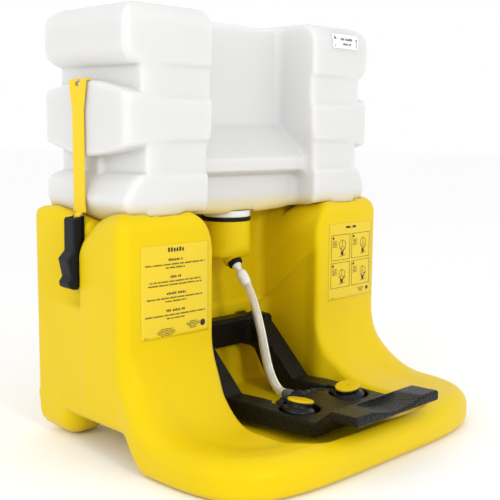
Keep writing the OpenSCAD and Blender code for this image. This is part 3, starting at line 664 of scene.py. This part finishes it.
r_out, z0, z1 = CAP_HI[0], CAP_LO[2], CAP_HI[2]
cap = ([(8, z0)] + arc(r_out - 2, z0 + 2, 2, -90, 0) + arc(r_out - 1, z1 - 1, 1, 0, 90)
       + [(30.3, z1), (30.3, 316), (8, 316), (8, z0)])
finish_piece(lathe("tank_screw_cap", cap, at_neck, 144), white_mat, "tank", "tank_cap")

at_outlet = Matrix.Translation((0, OUTLET_Y, OUTLET_Z)) @ Matrix.Rotation(OUTLET_TURN, 4, "X")
grommet = (arc(9.5, 1.2, 2.0, -60, 0, 4) + [(11.5, 3)] + arc(9.6, 5.1, 1.9, 0, 90)
           + [(6, 7), (6, 0), (10.5, -0.5)])
finish_piece(lathe("outlet_seal", grommet, at_outlet), rubber_mat, "root", "outlet_grommet")

# profiles of a spray head, a fat ring with a raised lip, and of its cover, a disc with a pinhole
HEAD_PROFILE = ([(4, -15.5), (19.5, -15.5)] + arc(16.0, -4.5, 7.6, -58, 72, 14) + [(17.2, 4.6)]
                + arc(16.2, 8.4, 1.3, -10, 90, 5)
                + [(15.4, 9.4), (14.8, 6.2), (6.4, 6.2), (6.0, 9.2), (3, 9.2), (3, -8)])
COVER_PROFILE = ([(0.01, 10.3), (17.4, 10.3)] + arc(17.6, 11.5, 1.2, -90, 0, 5)
                 + arc(17.2, 12.2, 1.6, 0, 80, 6) + [(12, 14.0), (6, 14.1), (2.9, 14.15)]
                 + arc(2.5, 13.7, 0.4, 80, 0, 3) + [(2.2, 12.2), (0.01, 12.2)])
for side, name in SIDES:
    place = (Matrix.Translation((side * HEAD_X, HEAD_Y, HEAD_Z))
             @ Matrix.Rotation(side * -HEAD_TILT, 4, "Y"))
    finish_piece(lathe(f"spray_body_{name}", HEAD_PROFILE, place), head_mat, "arm",
                 f"spray_head_{name}")
    finish_piece(lathe(f"cover_{name}", COVER_PROFILE, place), cover_mat, f"cover_{name}",
                 f"spray_cover_{name}")

# ---------- hose and tubes ----------

ROUTE = [(0, 78, 227.5), (0, 72, 220.5), (0, 63, 209), (0, 55, 197), (0, 48, 184), (0, 41.5, 169),
         (0, 36, 154), (0, 30.5, 138), (0, 25.5, 121), (0, 20.5, 104), (0, 15, 88), (0, 8.5, 75),
         (0, 1, 64.5), (0, -8, 57), (0, -14, 54.6), (0, -18.9, 54)]
STEPS = 6                          # along the curve from one of these points to the next
route = smooth_path(ROUTE, STEPS)
hose_path = route[STEPS:]          # the hose begins at the second point, inside its sleeve
hose = tube("supply_hose_tube", hose_path, [HOSE_R] * len(hose_path), 36, bore=HOSE_BORE_R)
paint(hose, hose_mat)
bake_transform(hose)
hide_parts("supply_hose")

sleeve_path = route[:2 * STEPS + 1]
sleeve_r = [7.6 + 1.1 * smooth(i / 3) - 1.0 * smooth((i - 8) / 4) for i in range(len(sleeve_path))]
finish_piece(tube("hose_end_sleeve", sleeve_path, sleeve_r, 36), white_mat, "root",
             "hose_sleeve")

# feed tubes: out from the connector, round a quarter turn and forward to the heads
for side, name in SIDES:
    plan = [(30, -48)] + arc(34, -68, 20, 90, 0, 14) + [(HEAD_X, -77)]
    line = [(side * x, y, FEED_Z) for x, y in plan]
    finish_piece(tube(f"feed_hose_{name}", line, [FEED_R] * len(line), 28), black_mat, "arm",
                 f"feed_tube_{name}")

# ---------- straps ----------

SECTIONS = 9                       # faces across a strap
KEYHOLE = 4                        # the one left out where the keyhole is


def strap_line(top, bottom):
    """Middle line of a strap in x and z: tab on the band, fold, straight run, and the end in the lever."""
    face, fold, tab = TANK_X + 0.3 + STRAP_T / 2, 5, 9
    upper = top - STRAP_T / 2
    line = [(face - STRAP_T / 2 - tab + k, upper) for k in np.arange(0, tab + STRAP_T / 2 - fold, 1)]
    line += arc(face - fold, upper - fold, fold, 90, 0, 9)
    line += [(face, upper - fold - k) for k in range(1, 16)]
    line += [(face, z) for z in sorted(STRAP_Z + (375, 400, 425, 450, 485), reverse=True)]
    line += [(TAB_X, z) for z in (327, 320, bottom)]
    return np.array(line, float)


def strap(side, name):
    """A bent band with a keyhole at its fold, wider at the fold and above the latch."""
    lo, hi = span(f"strap_{name}")
    middle = (lo[1] + hi[1]) / 2
    line = strap_line(hi[2], lo[2])
    walk = np.concatenate([[0], np.cumsum(np.linalg.norm(np.diff(line, axis=0), axis=1))])
    tangent = np.gradient(line, axis=0)
    tangent /= np.linalg.norm(tangent, axis=1)[:, None]
    normal = np.stack([-tangent[:, 1], tangent[:, 0]], 1)
    # half widths: the end in the lever, the collar above it, the band and the fold
    half = np.interp(line[:, 1], [*STRAP_Z, hi[2] - 10, hi[2]],
                     [6.3, 13.8, 13.8, 12.5, 12.5, 13.2, 18.6, 19.0])
    hole = next(w for w, (x, z) in zip(walk, line) if z < hi[2] - 10.5)
    slot = np.interp(hole - walk, [0, 0.6, 1.6, 3, 5, 8, 12], [0.02, 3.4, 5.0, 6.0, 6.3, 5.6, 4.4])
    bm, rows = bmesh.new(), []
    for (x, z), (nx, nz), h, s in zip(line, normal, half, slot):
        s = min(s, h - 1)
        across = [-h, -h + 0.6, -(h + s) / 2, -s - 0.3, -s, s, s + 0.3, (h + s) / 2, h - 0.6, h]
        rows.append([[bm.verts.new((side * (x + nx * e) * MM, (middle + y) * MM, (z + nz * e) * MM))
                      for y in across] for e in (-STRAP_T / 2, STRAP_T / 2)])
    open_until = int(np.searchsorted(walk, hole))
    for i, ((inner, outer), (next_inner, next_outer)) in enumerate(zip(rows, rows[1:])):
        is_open = i < open_until
        for k in range(SECTIONS):
            if k == KEYHOLE and is_open:
                continue
            bm.faces.new((inner[k], inner[k + 1], next_inner[k + 1], next_inner[k]))
            bm.faces.new((outer[k], outer[k + 1], next_outer[k + 1], next_outer[k]))
        for k in [0, SECTIONS] + [KEYHOLE, KEYHOLE + 1] * is_open:
            bm.faces.new((inner[k], outer[k], next_outer[k], next_inner[k]))
    ends = [(0, k) for k in range(SECTIONS) if k != KEYHOLE]
    ends += [(-1, k) for k in range(SECTIONS)] + [(open_until, KEYHOLE)]
    for i, k in ends:
        inner, outer = rows[i]
        bm.faces.new((inner[k], inner[k + 1], outer[k + 1], outer[k]))
    bmesh.ops.recalc_face_normals(bm, faces=bm.faces)
    obj = bmesh_object(f"strap_band_{name}", bm)
    soften(obj, 0.5, 2, 50)
    finish_piece(obj, strap_mat, "tank", f"strap_{name}")


for side, name in SIDES:
    strap(side, name)

# ---------- latch levers ----------

LEVER_OUTLINE = [(264.6, 320), (266, 323.8), (273, 323.8), (274.2, 322), (274.6, 279), (284.6, 268.8),
                 (279, 243.5), (284.2, 236.5), (283.2, 231.5), (276, 228.2), (271, 228), (266, 234)]
RIVET_PROFILE = [(0.01, 0)] + arc(2.4, 0, 0.9, 0, 90, 4) + [(0.01, 1.0)]


def lever_field(x, y, z):
    """A channel-shaped lever with finger ridges: the outline is 2 mm inside its surface."""
    ax = np.abs(x)
    body = round_max(polygon(ax, z, LEVER_OUTLINE) - 2, slab(y, LEVER_LO[1], LEVER_HI[1]), 2.2)
    channel = np.maximum(np.maximum(slab(y, STRAP_Y - 9.5, STRAP_Y + 9.5), 231 - z), ax - 273)
    return np.maximum(body, -channel)


for side, name in SIDES:
    low, high = sorted((side * 260, side * 288))
    lever = net_object(f"lever_{name}", lever_field, (low, LEVER_LO[1], 225), (high, LEVER_HI[1], 328), 1.0)
    finish_piece(lever, black_mat, f"lever_{name}", f"latch_lever_{name}")
    for end in (-1, 1):
        place = (Matrix.Translation((side * 268, STRAP_Y + end * 12.5, 322))
                 @ Matrix.Rotation(math.radians(-90 * end), 4, "X"))
        rivet = lathe(f"lever_rivet_{name}_{end + 1}", RIVET_PROFILE, place, 32)
        paint(rivet, black_mat)
        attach(rivet, f"lever_{name}")

# ---------- labels ----------

GRID = 2.0                         # spacing of the points where a face's depth is kept
FILM_LIFT, PRINT_LIFT = 0.5, 0.85  # how far a film and its print stand off the surface


class Face:
    """Front face of a moulded part over a window in x and z: gives y at any point of it."""

    def __init__(self, field, xs, zs, ys):
        self.xs, self.zs = np.arange(xs[0], xs[1] + GRID, GRID), np.arange(zs[0], zs[1] + GRID, GRID)
        depth = np.arange(ys[0], ys[1], 1.0)
        f = field(*np.meshgrid(self.xs, depth, self.zs, indexing="ij"))
        first = np.maximum(np.argmax(f < 0, axis=1), 1)
        after = np.take_along_axis(f, first[:, None], 1)[:, 0]
        before = np.take_along_axis(f, first[:, None] - 1, 1)[:, 0]
        self.y = depth[first] - 1 + before / (before - after)

    def __call__(self, x, z):
        u, v = (x - self.xs[0]) / GRID, (z - self.zs[0]) / GRID
        i, j = int(np.clip(u, 0, len(self.xs) - 2)), int(np.clip(v, 0, len(self.zs) - 2))
        u, v, y = u - i, v - j, self.y
        return float((y[i, j] * (1 - u) + y[i + 1, j] * u) * (1 - v)
                     + (y[i, j + 1] * (1 - u) + y[i + 1, j + 1] * u) * v)


def patch(name, xs, zs, face, lift=FILM_LIFT, cells=28):
    """Thin film over a window of a front face, of cells by cells quads."""
    points = [(x, face(x, z) - lift, z) for z in np.linspace(*zs, cells + 1)
              for x in np.linspace(*xs, cells + 1)]
    row = cells + 1
    starts = [j * row + i for j in range(cells) for i in range(cells)]
    obj = mesh_object(name, points, [(k, k + 1, k + row + 1, k + row) for k in starts])
    solid = obj.modifiers.new("film", "SOLIDIFY")
    solid.thickness, solid.offset = 0.25 * MM, -1
    return obj


def marks(name, shapes, face, body, lift=PRINT_LIFT):
    """Dark shapes printed on a film, each a list of (x, z) corners."""
    bm = bmesh.new()
    for ring in shapes:
        bm.faces.new([bm.verts.new((x * MM, (face(x, z) - lift) * MM, z * MM)) for x, z in ring])
    obj = bmesh_object(name, bm)
    paint(obj, ink_mat)
    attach(obj, body)


rng = np.random.default_rng(7)


def bar(x, z, w, h):
    return [(x, z), (x + w, z), (x + w, z + h), (x, z + h)]


def stroke(x0, z0, x1, z1, t):
    """A line of width t between two points."""
    n = np.array([z0 - z1, x1 - x0]) * t / 2 / math.hypot(x1 - x0, z1 - z0)
    return [(x0 - n[0], z0 - n[1]), (x1 - n[0], z1 - n[1]), (x1 + n[0], z1 + n[1]), (x0 + n[0], z0 + n[1])]


def disc(x, z, r):
    return [(x + r * math.cos(a), z + r * math.sin(a)) for a in np.arange(20) * math.pi / 10]


def small_print(centre, z, width, size):
    """A row of tiny blocks grouped like words."""
    out, x, left = [], centre - width / 2, 0
    pitch = size * 0.78
    while x < centre + width / 2 - pitch / 2:
        if left == 0:
            left = int(rng.integers(3, 10))
            x += pitch * 0.8
        out.append(bar(x, z, pitch * 0.62, size * rng.uniform(0.7, 1.0)))
        x += pitch
        left -= 1
    return out


def frame_bars(x0, x1, z0, z1, t=0.7):
    """Outline of a box."""
    return [bar(x0, z0, x1 - x0, t), bar(x0, z1 - t, x1 - x0, t), bar(x0, z0 + t, t, z1 - z0 - 2 * t),
            bar(x1 - t, z0 + t, t, z1 - z0 - 2 * t)]


def pictogram(x, z, kind):
    """Line drawing of a tank over a basin, moved a little from one kind to the next."""
    tank = [(2, 30), (9, 35), (18, 30), (18, 20), (11, 15), (2, 20)]
    dx, dz = x + 4 * (kind % 2), z - 3 * (kind // 2)
    tank = [(dx + a * 0.95, dz + b * 0.9) for a, b in tank]
    out = [stroke(*a, *b, 0.7) for a, b in zip(tank, tank[1:] + tank[:1])]
    cx, cz = tank[0][0] + 7, z + 9
    ridge = (cx + 1, tank[4][1] + 6)
    out += [stroke(*tank[1], *ridge, 0.6), stroke(*ridge, *tank[3], 0.6)]
    out += [disc(cx, cz, 3.4), stroke(cx - 7, cz - 5, cx + 9, cz - 3, 0.8)]
    out += [stroke(cx, cz, cx + 7, cz + 8, 1.1), stroke(cx - 3, cz + 2, cx - 2, cz + 12, 1.0)]
    return out


left_face = Face(base_field, (-262, -118), (156, 304), (0, 60))
right_face = Face(base_field, (130, 264), (156, 304), (0, 60))
tank_face = Face(tank_field, (140, 226), (570, 606), (10, 60))

finish_piece(patch("panel_film_left", (-241, -124), (165, 293), left_face), clear_film_mat, "root",
             "label_left")
finish_piece(patch("panel_film_right", (138, 252), (172, 297), right_face), clear_film_mat, "root",
             "label_right")

# left panel: rows of blocks for a title, four paragraphs and small print, and a round mark
left_marks = small_print(-184, 283, 33, 6.2)
PARAGRAPHS = ((270.6, 28, 103, 35), (247.2, 22, 89, 94), (224.4, 34, 98, 37), (200.8, 36, 105, 33))
for z, heading, first, second in PARAGRAPHS:
    left_marks += small_print(-184, z, heading, 3.6)
    left_marks += small_print(-184, z - 5.6, first, 2.3) + small_print(-184, z - 10.2, second, 2.3)
for k, widths in enumerate(((20, 14), (27, 26), (33, 24), (29, 16), (20, 12))):
    left_marks += small_print(-200, 177 - 2.3 * k, widths[0], 1.4)
    left_marks += small_print(-153, 182 - 2.3 * k, widths[1], 1.4)
left_marks += [disc(-135, 178, 4.6)] + small_print(-234, 168, 6, 1.4)
marks("panel_print_left", left_marks, left_face, "root")

# right panel: a title, four drawings in boxes, each with a dot and small print, and a round mark
right_marks = [bar(180, 288.5, 11, 3.6), bar(193, 288.5, 2.6, 1.2), bar(197.5, 288.5, 9, 3.6)]
BOXES = ((143, 191, 237, 279), (196, 247, 237, 279), (143, 192, 191, 233), (197, 248, 191, 233))
for i, (x0, x1, z0, z1) in enumerate(BOXES):
    right_marks += frame_bars(x0, x1, z0, z1)
    right_marks += [disc(x0 + 5, z1 - 5, 2.2)]
    for k in range(5):
        right_marks += small_print(x0 + 9, z1 - 11 - 2.3 * k, 12, 1.2)
    right_marks += pictogram(x0 + 19, z0 + 2, i)
for k in range(4):
    right_marks += small_print(224, 185 - 2.1 * k, 20 - 4 * k, 1.1)
right_marks += [disc(242, 183, 3.4)] + small_print(148, 175, 6, 1.2)
marks("panel_print_right", right_marks, right_face, "root")

# fill-line label: two rows between two arrows
finish_piece(patch("fill_film", (148, 218), (577.5, 601), tank_face, 0.4), white_film_mat, "tank",
             "fill_label")
arrows = small_print(183, 590.5, 36, 4.2) + small_print(183, 583, 24, 4.2)
for x in (154, 211):
    arrows += [bar(x - 0.7, 580, 1.4, 14), [(x - 3, 592), (x + 3, 592), (x, 598.5)]]
marks("fill_print", arrows, tank_face, "tank", 0.75)

# ---------- CAD nodes that stay: materials and softened edges ----------

LOOKS = {
    "outlet_barb": (white_mat, 0.4), "valve_lift_pin": (white_mat, 0.3), "valve_poppet": (white_mat, 0.4),
    "valve_spring": (steel_mat, 0.2), "cap_gasket": (rubber_mat, 0.3),
    "drain_fitting": (grey_mat, 0.5), "drain_strainer": (steel_mat, 0.2), "drain_bushing": (grey_mat, 0.4),
    "wall_inserts": (brass_mat, 0.2), "hinge_bracket_left": (black_mat, 0.5),
    "hinge_bracket_right": (black_mat, 0.5), "hinge_bracket_screws": (steel_mat, 0.4),
    "arm_hinge_pin_left": (steel_mat, 0.4), "arm_hinge_pin_right": (steel_mat, 0.4),
    "latch_bracket_left": (black_mat, 0.4), "latch_bracket_right": (black_mat, 0.4),
    "latch_rivets": (steel_mat, 0.3), "latch_pivot_pin_left": (black_mat, 0.3),
    "latch_pivot_pin_right": (black_mat, 0.3), "latch_hook_pin_left": (steel_mat, 0.3),
    "latch_hook_pin_right": (steel_mat, 0.3), "manifold": (black_mat, 0.6),
    "manifold_screws": (steel_mat, 0.3), "inlet_connector": (grey_mat, 0.7),
    "flow_strainer_left": (white_mat, 0.2), "flow_strainer_right": (white_mat, 0.2),
    "tray_bumpers": (rubber_mat, 0.6),
}
for node, (material, width) in LOOKS.items():
    paint(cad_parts[node], material)
    soften(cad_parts[node], width)

# ---------- floor, light and camera ----------

bpy.ops.mesh.primitive_plane_add(size=30, location=(0, 0, -0.0005))
floor = bpy.context.object
floor.name = "floor"
pale = Nodes("pale_floor")
pale.colour(pale.noise(3, 2), (0.97, 0.97, 0.97), 0.005)
pale.rough(pale.noise(8, 2), 0.6, 0.75)
paint(floor, pale.mat)

world = bpy.data.worlds.new("studio")
bpy.context.scene.world = world
world.use_nodes = True
background = world.node_tree.nodes["Background"]
background.inputs["Color"].default_value = (1, 1, 1, 1)
background.inputs["Strength"].default_value = 1.0


def area_light(name, place, target, size, power):
    data = bpy.data.lights.new(name, "AREA")
    data.shape, data.size, data.energy = "SQUARE", size, power
    obj = new_object(name, data)
    obj.location = place
    obj.rotation_euler = (Vector(target) - Vector(place)).to_track_quat("-Z", "Y").to_euler()


area_light("key", (-2.2, -0.3, 1.3), (0, 0, 0.25), 1.0, 8.5)
area_light("front", (-0.6, -2.4, 1.15), (0, 0, 0.2), 0.4, 16)

# the camera looks to the back and the right (yaw from +Y towards +X), and a little down
CAMERA_AT = (-0.9514, -0.9044, 0.4465)
YAW, PITCH, ROLL = (math.radians(a) for a in (44.70, 7.68, 0.49))
view = Vector((math.sin(YAW) * math.cos(PITCH), math.cos(YAW) * math.cos(PITCH), -math.sin(PITCH)))
level = Vector((math.cos(YAW), -math.sin(YAW), 0))
above = level.cross(view)
right = math.cos(ROLL) * level + math.sin(ROLL) * above
up = -math.sin(ROLL) * level + math.cos(ROLL) * above
camera = new_object("camera", bpy.data.cameras.new("camera"))
camera.matrix_world = (Matrix.Translation(CAMERA_AT)
                       @ Matrix((right, up, -view)).transposed().to_4x4())
camera.data.lens, camera.data.sensor_width = 63.85, 36
bpy.context.scene.camera = camera
bpy.context.scene.view_settings.view_transform = "Standard"
